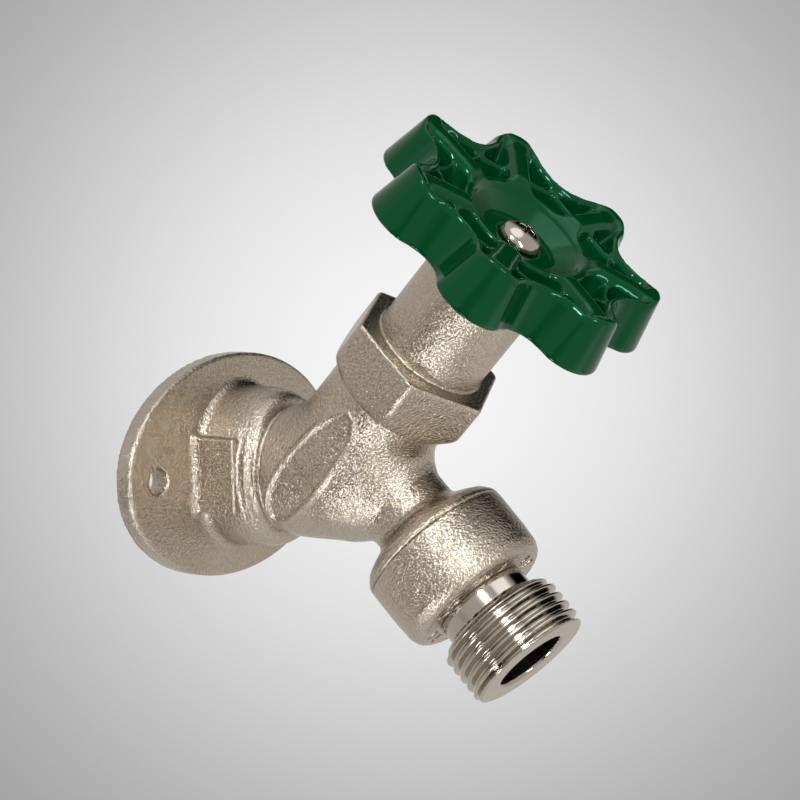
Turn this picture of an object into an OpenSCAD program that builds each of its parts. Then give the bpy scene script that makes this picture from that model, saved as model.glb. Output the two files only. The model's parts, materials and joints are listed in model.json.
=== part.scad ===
// Wall sillcock with a turned handwheel, a Y-shaped cast body and a vacuum breaker on the outlet.
// Millimetres. The wall face is y = 0 and the body points toward -Y. Z is up, X runs along the flange.
// The origin is where the inlet axis meets the wall.

/* [Flange] */
// full width of the oval flange
flange_w = 72.4; // [64:0.1:90]
// full height of the oval flange
flange_h = 47.6; // [40:0.1:60]
// thickness at the rim
flange_rim_t = 3.6; // [2.5:0.1:6]
// rise of the domed face above the rim
flange_rise = 1.6; // [1:0.1:3]
// distance between the two fixing holes
hole_spacing = 54.6; // [50:0.1:60]
// diameter of the fixing holes
hole_d = 5.6; // [4:0.1:7]

/* [Inlet] */
// half width over the wrench flats
flat_x = 15.2; // [14:0.1:16]
// half height of the wrench flats
flat_z = 7.9; // [6:0.1:8.5]
// outer end of the wrench flats
flat_end = 14.5; // [12:0.1:16]
// radius of the inlet drum
drum_r = 17.1; // [16.5:0.1:18]
// outer end of the inlet drum
drum_end = 18.7; // [17:0.1:19.5]
// radius of the inlet neck behind the flats
neck_r = 13.5; // [13:0.1:14]
// bore radius of the female pipe thread
inlet_r = 9.2; // [8:0.1:10]
// depth of the female pipe thread
inlet_depth = 17; // [14:0.5:20]
// radius of the water way behind the thread
water_r = 7; // [5:0.1:7.5]

/* [Body] */
// radius of the level body
body_r = 14.1; // [13.8:0.1:15]
// where the level body starts
body_start = 19.9; // [19.6:0.1:21]
// where the stem and outlet axes cross, distance from the wall
cross_y = 34.9; // [33:0.1:37]
// where the stem and outlet axes cross, height
cross_z = 6.1; // [5:0.1:7]
// angle of the stem above level
stem_angle = 47; // [45:0.5:48]
// angle of the outlet below level
outlet_angle = 45; // [44:0.5:48]
// radius of the barrel under the bonnet
barrel_r = 13.3; // [13:0.1:14]
// distance from the crossing to the bonnet seam
bonnet_seam = 14.9; // [14:0.1:16]
// radius of the valve chamber
chamber_r = 9.6; // [9:0.1:10]
// distance of the seat face behind the crossing
seat_drop = 7; // [5.5:0.1:7.5]

/* [Outlet] */
// radius of the throat
throat_r = 9.4; // [9:0.1:10.5]
// end of the throat
throat_end = 21.4; // [20:0.1:22]
// radius at the end of the flare
flare_r = 15.7; // [14:0.1:16.2]
// end of the flare
flare_end = 24.7; // [23:0.1:25]
// start of the straight outlet ring
ring_start = 26.8; // [25.5:0.1:27.4]
// radius of the outlet ring
ring_r = 16.9; // [16:0.1:18]
// seam between the outlet ring and the breaker cap
ring_end = 27.9; // [27:0.1:29]
// radius of the outlet water way
outlet_r = 6; // [5:0.1:6.5]

/* [Vacuum breaker] */
// outer radius of the breaker cap
cap_r = 17; // [16.5:0.1:18]
// end of the breaker cap
cap_end = 42.5; // [41.5:0.1:44]
// radius of the chamber in the cap
cap_bore_r = 14.2; // [13.8:0.1:14.4]
// radius of the polished neck
nozzle_neck_r = 10.1; // [9.6:0.1:10.5]
// crest radius of the hose thread
thread_r = 13.49; // [13.4:0.01:13.6]
// start of the hose thread
thread_start = 47.4; // [47:0.1:48]
// end face of the nozzle
nozzle_end = 59.2; // [58.5:0.1:60]
// bore radius of the nozzle
nozzle_r = 7.6; // [7:0.1:8]
// travel of the poppet
poppet_travel = 2.5; // [2:0.1:3]

/* [Bonnet] */
// width of the bonnet hexagon over its flats
hex_af = 30; // [29:0.1:31]
// turn of the hexagon about the stem axis
hex_turn = 26; // [0:1:59]
// end of the bonnet hexagon
hex_end = 28; // [27:0.1:29]
// radius of the bonnet barrel
bonnet_r = 12.1; // [11.8:0.1:12.6]
// end of the bonnet barrel
bonnet_end = 51.2; // [50:0.1:52]
// radius of the stuffing box
box_r = 8.4; // [8:0.1:8.8]
// floor of the stuffing box
box_floor = 34; // [33:0.5:36]

/* [Stem] */
// radius of the plain stem
stem_r = 5; // [4.6:0.1:5.4]
// crest radius of the stem thread
screw_r = 7; // [6.6:0.1:7.2]
// thickness of the rubber washer
washer_t = 3.6; // [3:0.1:4]
// valve lift at the end of the turn
lift = 6; // [3:0.5:6]
// shaft clearance at a turning or sliding fit
run_gap = 0.05; // [0.02:0.01:0.1]

/* [Handle] */
// number of lobes
lobes = 7; // [5:1:9]
// turn of the first lobe
lobe_turn = 98.5; // [0:0.5:120]
// height of the handle rim
rim_h = 10.9; // [9:0.1:12]
// distance from the crossing to the underside of the handle
rim_low = 54.3; // [54:0.1:55]
// distance of the lobe centres from the stem axis
lobe_at = 23.95; // [23.5:0.05:24.3]
// lobe radius at mid height
lobe_r = 7.6; // [7.5:0.05:8]
// distance of the valley centres from the stem axis
valley_at = 31.3; // [31:0.05:31.5]
// valley radius at mid height
valley_r = 6.8; // [6.7:0.05:7]
// draft offset from mid height to either end
draft = 1.25; // [0.8:0.05:1.4]
// wall thickness of the rim
wall_t = 2.2; // [1.8:0.1:2.6]
// radius of the dish ring
dish_r = 15.2; // [14:0.1:16]
// depth of the screw seat below the rim
seat_depth = 5.7; // [5.2:0.1:6.2]
// depth of the dish ring below the rim
ring_drop = 2; // [1.5:0.1:2.5]
// extra height of the rim and spokes at the lobe tips
crown = 0.8; // [0.5:0.1:1]
// width of the spokes
spoke_w = 5.4; // [4.6:0.1:5.6]

/* [Hidden] */
$fn = 72;
cross = [0, -cross_y, cross_z];
core_r = 27.1;
valley_w = 13;
knuckle = 0.15;
rim_top = rim_low + rim_h;
seat_top = rim_top - seat_depth;
crest = rim_top + crown;
hub_r = 7.2;
square_w = 5.6;
seat_face = -seat_drop;
seat_len = 4;
seat_out_r = 6.6;
seat_in_r = 4.8;
washer_top = seat_face + washer_t;
washer_r = 7.4;
holder_r = 8.8;
holder_top = washer_top + 3;
socket_top = holder_top + 2.6;
swivel_r = 3.6;
groove_r = 3;
clip_t = 1;
foot = holder_top + 0.3;
thread_low = 10;
thread_top = 25;
bonnet_web = 32;
gasket_low = 8;
gasket_t = 0.9;
spigot_r = 11.2;
square_low = rim_low + 0.7;
stem_end = seat_top - 0.6;
screw_hole_r = square_w / 2 - 0.8;
cap_floor = 3;
cap_in = cap_end - cap_floor;
spigot_end = ring_end + 3.6;
throat_start = throat_end - 5.4;
spigot_out_r = 13.6;
seal_t = 0.8;
seat_ring_low = spigot_end + seal_t;
seat_ring_end = seat_ring_low + 2;
lip = 0.5;
poppet_top = seat_ring_end + lip + run_gap;
poppet_low = poppet_top + 1.35;
guide_top = cap_in + 1;
guide_len = 2;
guide_r = 8.2;
pin_r = 1.5;
nozzle_in_r = 9.5;
diaphragm_r = spigot_out_r - 1.1;
diaphragm_in_r = nozzle_in_r + 0.7;
thread_end = nozzle_end - 0.7;
nickel = [0.68, 0.63, 0.56];
brass = [0.76, 0.62, 0.32];
polished = [0.75, 0.74, 0.72];
black = [0.12, 0.12, 0.12];
green = [0.05, 0.38, 0.24];

module on_inlet() {
    rotate([90, 0, 0]) children();
}

module on_stem() {
    translate(cross) rotate([90 - stem_angle, 0, 0]) children();
}

module on_outlet() {
    translate(cross) rotate([90 + outlet_angle, 0, 0]) children();
}

module rod(r, z0, z1) {
    translate([0, 0, z0]) cylinder(r = r, h = z1 - z0);
}

module cone(r0, r1, z0, z1) {
    translate([0, 0, z0]) cylinder(r1 = r0, r2 = r1, h = z1 - z0);
}

module tube(r_out, r_in, z0, z1) {
    difference() {
        rod(r_out, z0, z1);
        rod(r_in, z0 - 1, z1 + 1);
    }
}

// domed oval: an elliptical prism cut by a wide torus
module flange() {
    rx = flange_w / 2;
    rz = flange_h / 2;
    minor_r = rz * rz / (2 * flange_rise);
    major_r = rx * rx / (2 * flange_rise);
    top = flange_rim_t + flange_rise;
    intersection() {
        on_inlet() linear_extrude(top + 1)
            polygon([for (i = [0:89]) [rx * cos(i * 4), rz * sin(i * 4)]]);
        translate([0, major_r - top, 0]) rotate_extrude($fn = 360)
            intersection() {
                translate([major_r - minor_r, 0]) circle(r = minor_r, $fn = 360);
                translate([0, -flange_h]) square([major_r + 5, 2 * flange_h]);
            }
    }
}

// crowned drum with a wrench flat on each side and the round neck showing behind the flats
module inlet_drum() {
    difference() {
        on_inlet() {
            rod(drum_r, 1, drum_end - 5);
            cone(drum_r, drum_r - 1.4, drum_end - 5, drum_end);
        }
        for (side = [0, 1]) mirror([side, 0, 0]) {
            translate([flat_x, -flat_end, -flat_z - 3])
                cube([5, flat_end - flange_rim_t - 1.3, 2 * flat_z + 6]);
            translate([8, -drum_end - 1, -flat_z])
                cube([20, drum_end + 1 - flat_end, 2 * flat_z]);
        }
    }
    on_inlet() {
        rod(neck_r, flat_end - 1, drum_end - 1);
        rod(neck_r - 0.8, drum_end - 1.5, body_start + 0.5);
    }
}

module body_outside() {
    flange();
    inlet_drum();
    on_inlet() {
        cone(neck_r + 0.1, body_r, body_start, body_start + 5);
        rod(body_r, body_start + 5, cross_y + 2);
    }
    translate([0, -cross_y - 1, 0]) sphere(r = body_r + knuckle);
    translate(cross) sphere(r = barrel_r + knuckle);
    on_stem() rod(barrel_r, 0, bonnet_seam);
    on_outlet() {
        rod(barrel_r, 0, 8);
        cone(barrel_r, throat_r, 8, throat_start);
        rod(throat_r, throat_start - 0.5, throat_end + 0.5);
        cone(throat_r, flare_r, throat_end, flare_end);
        cone(flare_r, ring_r, flare_end, ring_start);
        rod(ring_r, ring_start, ring_end);
        rod(spigot_out_r, ring_end - 1, spigot_end);
    }
}

module valve_body() {
    color(nickel) difference() {
        body_outside();
        on_inlet() {
            rod(inlet_r, -1, inlet_depth);
            rod(water_r, inlet_depth - 1, inlet_depth + 4);
        }
        translate([0, 0, -2.5]) on_inlet() rod(5, inlet_depth, cross_y - 9);
        for (x = [-hole_spacing / 2, hole_spacing / 2])
            translate([x, 1, 0]) on_inlet() rod(hole_d / 2, 0, flange_rim_t + flange_rise + 2);
        on_stem() {
            rod(chamber_r, seat_face - 0.4, bonnet_seam + 1);
            rod(spigot_r + run_gap, gasket_low, bonnet_seam + 1);
            rod(seat_out_r, seat_face - seat_len, seat_face);
            rod(seat_out_r - 0.9, seat_face - seat_len - 5, seat_face);
        }
        on_outlet() rod(outlet_r, 2, spigot_end + 1);
    }
}

module valve_seat() {
    color(brass) on_stem() tube(seat_out_r, seat_in_r, seat_face - seat_len, seat_face);
}

module bonnet_gasket() {
    color(black) on_stem() tube(spigot_r - 0.1, chamber_r + 0.1, gasket_low, gasket_low + gasket_t);
}

// hexagon with a chamfered foot and a chamfered shoulder
module bonnet_hex() {
    corner_r = hex_af / 2 / cos(30);
    intersection() {
        translate([0, 0, bonnet_seam]) rotate([0, 0, hex_turn])
            cylinder(r = corner_r, h = hex_end - bonnet_seam, $fn = 6);
        union() {
            cone(barrel_r + 0.9, corner_r + 0.2, bonnet_seam, bonnet_seam + 4.2);
            rod(corner_r + 0.2, bonnet_seam + 4.2, hex_end - 0.8);
            cone(corner_r + 0.2, corner_r - 0.6, hex_end - 0.8, hex_end);
        }
    }
}

module bonnet() {
    color(nickel) on_stem() difference() {
        union() {
            rod(spigot_r, gasket_low + gasket_t, bonnet_seam + 1);
            bonnet_hex();
            cone(bonnet_r + 1.4, bonnet_r, hex_end - 2, hex_end + 2.5);
            rod(bonnet_r, hex_end, bonnet_end);
        }
        rod(screw_r + run_gap, gasket_low, bonnet_web);
        rod(stem_r + run_gap, bonnet_web - 1, box_floor + 1);
        rod(box_r, box_floor, bonnet_end + 1);
    }
}

module packing_washer() {
    color(brass) on_stem() tube(box_r - run_gap, stem_r + run_gap, box_floor, box_floor + 1.2);
}

module packing_ring() {
    color(black) on_stem() tube(box_r - run_gap, stem_r + run_gap, box_floor + 1.2, box_floor + 8.2);
}

module packing_follower() {
    color(brass) on_stem() tube(box_r - run_gap, stem_r + run_gap, box_floor + 8.2, box_floor + 10.7);
}

module gland_nut() {
    color(brass) on_stem() difference() {
        tube(box_r - run_gap, stem_r + run_gap, box_floor + 10.7, bonnet_end + 0.8);
        translate([-box_r - 3, -1, bonnet_end - 1]) cube([2 * box_r + 6, 2, 3]);
    }
}

module washer_holder() {
    color(brass) on_stem() difference() {
        union() {
            rod(holder_r, washer_top - 2, holder_top);
            rod(swivel_r + 2, holder_top - 1, socket_top);
        }
        rod(washer_r + run_gap, washer_top - 3, washer_top);
        rod(screw_hole_r, washer_top - 1, holder_top + 1);
        rod(swivel_r + run_gap, holder_top, socket_top + 1);
    }
}

module bibb_washer() {
    color(black) on_stem() tube(washer_r, screw_hole_r, seat_face + run_gap, washer_top);
}

module bibb_screw() {
    head_r = screw_hole_r + 1.6;
    color(brass) on_stem() {
        difference() {
            rod(head_r, seat_face - 2, seat_face + run_gap);
            translate([-head_r - 0.4, -0.6, seat_face - 3]) cube([2 * head_r + 0.8, 1.2, 1.9]);
        }
        rod(screw_hole_r, seat_face - 0.5, holder_top - 0.3);
    }
}

module holder_clip() {
    color(polished) on_stem() difference() {
        tube(swivel_r + 1.8, groove_r + run_gap, socket_top, socket_top + clip_t);
        translate([0, -1.5, socket_top - 1]) cube([10, 3, clip_t + 2]);
    }
}

module stem() {
    color(brass) on_stem() difference() {
        union() {
            rod(swivel_r, foot, socket_top - 0.1);
            rod(groove_r, foot, socket_top + clip_t + 0.4);
            rod(stem_r, socket_top + clip_t + 0.3, square_low);
            rod(screw_r, thread_low, thread_top);
            translate([-square_w / 2, -square_w / 2, square_low - 1])
                cube([square_w, square_w, stem_end - square_low + 1]);
        }
        rod(screw_hole_r, seat_top - 9, stem_end + 1);
    }
}

// scalloped blank: a round core with a cone on every lobe
module lobe_blank(z0, z1, off0, off1) {
    cone(core_r + off0 / 2, core_r + off1 / 2, z0, z1);
    for (i = [0:lobes - 1]) rotate([0, 0, lobe_turn + i * 360 / lobes])
        translate([lobe_at, 0, 0]) cone(lobe_r + off0, lobe_r + off1, z0, z1);
}

// one cone in every valley between two lobes
module valley_cones(z0, z1, off0, off1) {
    for (i = [0:lobes - 1]) rotate([0, 0, lobe_turn + (i + 0.5) * 360 / lobes])
        translate([valley_at, 0, 0]) cone(valley_r - off0, valley_r - off1, z0, z1);
}

// drafted wall of even thickness that follows the lobes
module rim_wall() {
    slope = 2 * draft / (rim_h + crown);
    difference() {
        lobe_blank(rim_low, crest, draft, -draft);
        difference() {
            lobe_blank(rim_low - 1, crest + 1, draft - wall_t + slope, -draft - wall_t - slope);
            valley_cones(rim_low - 2, crest + 2, draft - wall_t + 2 * slope,
                -draft - wall_t - 2 * slope);
        }
        valley_cones(rim_low - 1, crest + 1, draft + slope, -draft - slope);
        for (i = [0:lobes - 1]) rotate([0, 0, lobe_turn + (i + 0.5) * 360 / lobes])
            translate([core_r - wall_t - 6, -valley_w / 2, rim_top])
                cube([2 * wall_t + 8, valley_w, crown + 1]);
    }
}

module handle_dish() {
    ring_top = rim_top - ring_drop;
    rotate_extrude() polygon([
        [0, seat_top - 2.4], [hub_r + 1, seat_top - 2.4], [dish_r, seat_top + 0.4],
        [dish_r, ring_top], [dish_r - 1.6, ring_top], [dish_r - 2.4, ring_top - 1.15],
        [hub_r + 1.2, seat_top], [0, seat_top]]);
}

module handle() {
    spoke_end = lobe_at + lobe_r - wall_t + 0.35;
    color(green) on_stem() difference() {
        union() {
            rim_wall();
            for (i = [0:lobes - 1]) rotate([0, 0, lobe_turn + i * 360 / lobes])
                translate([dish_r - 1.2, -spoke_w / 2, seat_top - 0.4])
                    cube([spoke_end - dish_r + 1.2, spoke_w, crest - seat_top - 0.2]);
            handle_dish();
            rod(hub_r, square_low + 0.3, seat_top - 1);
        }
        translate([-square_w / 2 - run_gap, -square_w / 2 - run_gap, square_low - 1])
            cube([square_w + 2 * run_gap, square_w + 2 * run_gap, rim_h]);
    }
}

module handle_screw() {
    head_r = 4.6;
    head_h = 2.7;
    ball_r = 6;
    color(polished) on_stem() {
        rod(screw_hole_r, seat_top - 8, seat_top + 0.5);
        difference() {
            intersection() {
                rod(head_r, seat_top, seat_top + head_h);
                translate([0, 0, seat_top + head_h - ball_r]) sphere(r = ball_r);
            }
            for (a = [0, 90]) rotate([0, 0, a])
                translate([-2.2, -0.45, seat_top + head_h - 1.2]) cube([4.4, 0.9, 2]);
        }
    }
}

module breaker_cap() {
    color(nickel) on_outlet() difference() {
        union() {
            rod(cap_r, ring_end, cap_end - 3.2);
            cone(cap_r, cap_r - 1, cap_end - 3.2, cap_end - 1.2);
            cone(cap_r - 1, cap_r - 3, cap_end - 1.2, cap_end);
        }
        rod(spigot_out_r + run_gap, ring_end - 1, seat_ring_end);
        rod(spigot_out_r - 0.8, ring_end, cap_in);
        rod(nozzle_in_r + run_gap, cap_in - 1, cap_end + 1);
        for (i = [0:5]) rotate([0, 0, i * 60]) for (turn = [-9, 9]) rotate([0, 0, turn])
            translate([nozzle_neck_r + 0.4, -0.6, cap_in - 1]) cube([2.2, 1.2, cap_floor + 2]);
    }
}

module breaker_seal() {
    color(black) on_outlet() tube(spigot_out_r - run_gap, 9.5, spigot_end, seat_ring_low);
}

module breaker_seat() {
    color(brass) on_outlet() {
        tube(spigot_out_r - run_gap, outlet_r - 0.8, seat_ring_low, seat_ring_end);
        tube(outlet_r + 0.4, outlet_r - 0.8, seat_ring_low, seat_ring_end + lip);
    }
}

module poppet() {
    arm_r = diaphragm_r - 1.5;
    color([0.85, 0.84, 0.8]) on_outlet() {
        rod(outlet_r + 0.9, poppet_top, poppet_low);
        tube(diaphragm_r - 0.2, diaphragm_in_r + 0.2, poppet_top, poppet_low);
        for (a = [0, 90]) rotate([0, 0, a])
            translate([-arm_r, -1, poppet_top]) cube([2 * arm_r, 2, poppet_low - poppet_top]);
        rod(pin_r, poppet_low - 0.5, guide_top + guide_len - 0.2);
    }
}

module poppet_diaphragm() {
    color(black) on_outlet() tube(diaphragm_r, diaphragm_in_r, poppet_low,
        cap_in - poppet_travel - run_gap);
}

module poppet_spring() {
    wire_r = 0.4;
    turns = 6;
    pitch = (guide_top - poppet_low - 2 * wire_r) / (turns - 1);
    color(polished) on_outlet() for (i = [0:turns - 1])
        translate([0, 0, poppet_low + wire_r + i * pitch])
            rotate_extrude() translate([pin_r + 0.9, 0]) circle(r = wire_r, $fn = 24);
}

module poppet_guide() {
    spoke_r = guide_r - 0.8;
    color([0.85, 0.84, 0.8]) on_outlet() {
        tube(guide_r - run_gap, guide_r - 1.4, guide_top, guide_top + guide_len);
        difference() {
            union() {
                rod(pin_r + 1.6, guide_top, guide_top + guide_len);
                for (a = [0, 60, 120]) rotate([0, 0, a])
                    translate([-spoke_r, -0.7, guide_top]) cube([2 * spoke_r, 1.4, guide_len]);
            }
            rod(pin_r + run_gap, guide_top - 1, guide_top + guide_len + 1);
        }
    }
}

module hose_nozzle() {
    color(polished) on_outlet() difference() {
        union() {
            rod(nozzle_in_r, cap_in, cap_end + 1);
            rod(nozzle_neck_r, cap_end, thread_start + 0.5);
            cone(nozzle_neck_r, thread_r, thread_start - 0.4, thread_start + 1.2);
            rod(thread_r, thread_start + 1.2, thread_end);
            cone(thread_r, thread_r - 0.7, thread_end, nozzle_end);
        }
        rod(guide_r, cap_in - 1, guide_top + guide_len);
        rod(nozzle_r, cap_in, nozzle_end + 1);
    }
}

valve_body();
valve_seat();
bonnet_gasket();
bonnet();
packing_washer();
packing_ring();
packing_follower();
gland_nut();
washer_holder();
bibb_washer();
bibb_screw();
holder_clip();
stem();
handle();
handle_screw();
breaker_cap();
breaker_seal();
breaker_seat();
poppet();
poppet_diaphragm();
poppet_spring();
poppet_guide();
hose_nozzle();
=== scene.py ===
"""Looks for the wall sillcock: cast nickel body, bonnet and breaker cap, polished nozzle, green wheel."""

import json
import logging
import math
from dataclasses import dataclass, field
from enum import Enum
from typing import Callable, Optional, Union

import bpy
import numpy as np
from mathutils import Matrix, Vector

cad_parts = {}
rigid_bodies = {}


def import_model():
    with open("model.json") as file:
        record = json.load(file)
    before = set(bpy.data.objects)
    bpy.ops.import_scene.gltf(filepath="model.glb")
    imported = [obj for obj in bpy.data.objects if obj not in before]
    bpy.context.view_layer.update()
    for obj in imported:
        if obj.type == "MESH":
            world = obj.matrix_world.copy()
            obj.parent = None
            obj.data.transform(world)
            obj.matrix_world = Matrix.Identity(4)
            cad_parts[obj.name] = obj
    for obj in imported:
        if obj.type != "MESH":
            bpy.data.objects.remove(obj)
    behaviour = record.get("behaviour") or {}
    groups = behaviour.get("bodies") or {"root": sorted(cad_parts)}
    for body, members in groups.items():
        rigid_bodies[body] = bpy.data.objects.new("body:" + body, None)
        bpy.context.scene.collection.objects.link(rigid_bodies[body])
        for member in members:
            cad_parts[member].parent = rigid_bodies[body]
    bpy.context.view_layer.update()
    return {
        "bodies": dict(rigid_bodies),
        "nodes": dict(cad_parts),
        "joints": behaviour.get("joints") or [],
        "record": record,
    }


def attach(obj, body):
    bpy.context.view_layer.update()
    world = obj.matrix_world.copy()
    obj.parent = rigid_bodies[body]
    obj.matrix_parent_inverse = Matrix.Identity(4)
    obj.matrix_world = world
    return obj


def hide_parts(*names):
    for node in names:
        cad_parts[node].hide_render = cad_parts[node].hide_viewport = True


MM = 0.001
SENSOR_MM = 36.0

# Crossing of the three axes in millimetres, and slopes in degrees, as in the CAD source
CROSSING = (0.0, -34.9, 6.1)
STEM_RISE = 47.0
OUTLET_FALL = 45.0

Array = np.ndarray
Field = Callable[[Array], Array]
Term = Union["Value", float]
Pair = tuple[float, float]
Triple = tuple[float, float, float]
Spot = tuple[Array, Array, Array]
Line = tuple[Pair, ...]
Object = bpy.types.Object
Node = bpy.types.Node
Socket = bpy.types.NodeSocket

log = logging.getLogger("sillcock")


# Signed distance helpers, all in millimetres

def join(a: Array, b: Array, blend: float = 0.0) -> Array:
    """Union of two distance arrays with a fillet of the given width."""
    h = np.clip(blend - np.abs(a - b), 0, None) / max(blend, 1e-9)
    return np.minimum(a, b) - h * h * blend * 0.25


def meet(a: Array, b: Array, blend: float = 0.0) -> Array:
    """Intersection of two distance arrays with a rounded edge."""
    return -join(-a, -b, blend)


def cut(a: Array, b: Array, blend: float = 0.0) -> Array:
    """Shape a with shape b taken away and a rounded edge between them."""
    return -join(-a, b, blend)


def slab(t: Array, low: float, high: float) -> Array:
    """Distance to the space between two parallel planes, negative between them."""
    return np.maximum(low - t, t - high)


def profile(r: Array, t: Array, stations: Line, edge: float = 0.0) -> Array:
    """Distance to a turned solid given by radius stations along its axis.

    Args:
        r: Distance from the axis.
        t: Coordinate along the axis.
        stations: Pairs of axial position and radius.
        edge: Width of the rounding at both end faces.

    Returns:
        Approximate distances of the turned solid.
    """
    at = np.array([s[0] for s in stations], float)
    radii = np.array([s[1] for s in stations], float)
    side = r - np.interp(t, at, radii)
    slope = np.interp(t, 0.5 * (at[1:] + at[:-1]), np.diff(radii) / np.maximum(np.diff(at), 1e-6))
    side = side / np.sqrt(1 + np.clip(slope, -2, 2) ** 2)
    return meet(side, slab(t, at[0], at[-1]), edge)


def box_side(x: Array, y: Array, half: Pair, corner: float) -> Array:
    """Distance to a rectangle with rounded corners, negative inside."""
    dx, dy = (np.abs(t) - size + corner for t, size in zip((x, y), half))
    return np.hypot(np.maximum(dx, 0), np.maximum(dy, 0)) + np.minimum(np.maximum(dx, dy), 0) - corner


def oval_side(x: Array, y: Array, half: Pair) -> Array:
    """Approximate distance to an ellipse, negative inside."""
    reach = np.hypot(x / half[0], y / half[1])
    return reach * (reach - 1) / np.maximum(np.hypot(x / half[0] ** 2, y / half[1] ** 2), 1e-6)


def fold(x: Array, y: Array, count: int, turn: float = 0.0) -> tuple[Array, Array]:
    """Radius and angle, folded into half of one of several sectors; turn is the first one's middle."""
    pitch = 2 * math.pi / count
    return np.hypot(x, y), np.abs((np.arctan2(y, x) - math.radians(turn) + pitch / 2) % pitch - pitch / 2)


def turned(x: Array, y: Array, degrees: float) -> tuple[Array, Array]:
    """Coordinates along two axes that are turned by an angle."""
    a = math.radians(degrees)
    return x * math.cos(a) + y * math.sin(a), y * math.cos(a) - x * math.sin(a)


@dataclass(frozen=True)
class Rod:
    """A round bar or bore along an axis; edge is the width of its rounding."""

    radius: float
    low: float
    high: float
    edge: float = 0.0

    def bar(self, r: Array, t: Array) -> Array:
        """Distances of the bar, with rounded ends."""
        return meet(r - self.radius, slab(t, self.low, self.high), self.edge)

    def bore(self, shape: Array, r: Array, t: Array) -> Array:
        """Distances of a shape with the bar taken away and its mouth rounded."""
        return cut(shape, np.maximum(r - self.radius, slab(t, self.low, self.high)), self.edge)


def bored(shape: Array, bores: tuple[Rod, ...], r: Array, t: Array) -> Array:
    """Distances of a shape with all bores of one axis taken away."""
    for bore in bores:
        shape = bore.bore(shape, r, t)
    return shape


@dataclass(frozen=True)
class AxisFrame:
    """A straight axis in the YZ plane with its own coordinates, in millimetres and degrees."""

    origin: Triple
    angle: float

    @property
    def basis(self) -> Array:
        """Unit vectors of X, across the axis in the YZ plane, and along the axis."""
        a = math.radians(self.angle)
        return np.array([(1.0, 0.0, 0.0), (0.0, math.sin(a), math.cos(a)), (0.0, -math.cos(a), math.sin(a))])

    def polar(self, points: Array) -> tuple[Array, Array]:
        """Distance of row frame points from the axis, and place along it."""
        x, v, w = ((points - np.array(self.origin)) @ self.basis.T).T
        return np.hypot(x, v), w

    def world(self, local: Array) -> Array:
        """Row frame points of coordinates across X, across the axis and along it."""
        return np.array(self.origin) + local @ self.basis


class Axis(Enum):
    """Axes on which the pieces are turned, out of the wall or out of the crossing."""

    INLET = AxisFrame((0.0, 0.0, 0.0), 0.0)
    STEM = AxisFrame(CROSSING, STEM_RISE)
    OUTLET = AxisFrame(CROSSING, -OUTLET_FALL)


# Meshing

@dataclass(frozen=True)
class FieldGrid:
    """A box of grid points in a local frame, in millimetres."""

    low: Triple
    high: Triple
    step: float


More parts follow.
